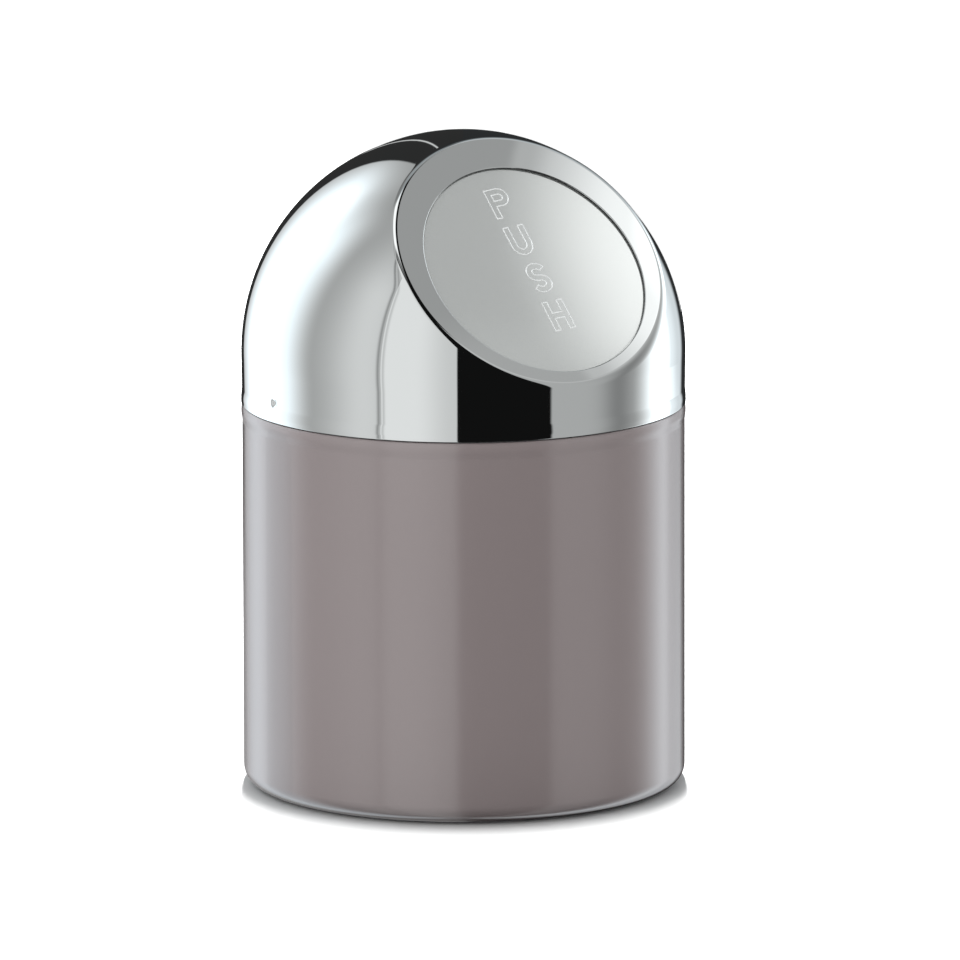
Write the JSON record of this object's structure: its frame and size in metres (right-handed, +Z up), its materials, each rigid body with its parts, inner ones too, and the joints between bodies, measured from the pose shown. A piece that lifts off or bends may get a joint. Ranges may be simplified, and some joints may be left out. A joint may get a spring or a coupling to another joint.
{
  "type": "countertop push-top bin",
  "caption": "Round countertop bin: painted steel can with a lift-off chromed dome lid, whose sprung round flap is pushed inwards to drop small kitchen waste.",
  "frame": {"origin": "centre of the foot ring, on the surface that the bin stands on", "axes": "+Z up along the can, the flap faces -Y, +X to the right seen from the front"},
  "size_m": [0.1246, 0.1246, 0.1852],
  "materials": {
    "taupe_paint": "gloss taupe enamel inside and out",
    "plain_steel": "plain zinc-plated sheet steel",
    "chrome": "mirror chrome plate on pressed steel",
    "satin_steel": "fine satin steel",
    "spring_steel": "drawn spring steel",
    "black_plastic": "moulded black polypropylene",
    "nylon": "natural nylon",
    "foam": "self-adhesive black foam rubber"
  },
  "bodies": {
    "bin": {"can_shell": "taupe_paint", "base_pan": "plain_steel", "foot_ring": "black_plastic", "neck_collar": "plain_steel"},
    "lid": {"lid_dome": "chrome", "hinge_bracket": "plain_steel", "hinge_axle": "plain_steel", "axle_clip": "spring_steel", "flap_spring": "spring_steel", "closing_pad_left": "foam", "closing_pad_right": "foam", "closing_pad_upper_left": "foam", "closing_pad_upper_right": "foam"},
    "flap": {"flap_plate": "satin_steel", "flap_leaf": "plain_steel", "bush_left": "nylon", "bush_right": "nylon"}
  },
  "joints": [
    {"name": "lid_lift", "type": "slide", "parent": "bin", "child": "lid", "axis": [0, 0, 1], "range_m": [0, 0.08]},
    {"name": "flap_push", "type": "hinge", "parent": "lid", "child": "flap", "pos_m": [0, -0.01069, 0.17375], "axis": [1, 0, 0], "range_deg": [0, 70], "stiffness_Nm_per_rad": 0.025, "springref_deg": -45.84, "deforming": ["flap_spring"]}
  ]
}
